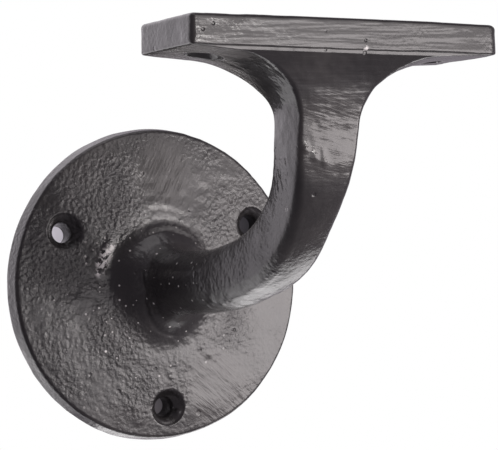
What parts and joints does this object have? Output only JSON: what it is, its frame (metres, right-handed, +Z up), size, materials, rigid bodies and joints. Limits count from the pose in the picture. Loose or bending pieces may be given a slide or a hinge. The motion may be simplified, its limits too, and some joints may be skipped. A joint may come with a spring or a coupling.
{
  "type": "handrail bracket",
  "caption": "Cast iron handrail bracket: a round wall plate, an arm that curves up to a flared flat saddle for the rail, painted black.",
  "frame": {"origin": "centre of the round plate's back face, on the wall", "axes": "+Y into the wall, -Y out into the room, X along the handrail, +Z up"},
  "size_m": [0.0761, 0.097, 0.0914],
  "materials": {
    "black_painted_casting": "gloss black paint on a rough sand-cast skin"
  },
  "bodies": {
    "root": {"handrail_bracket": "black_painted_casting"}
  },
  "joints": []
}
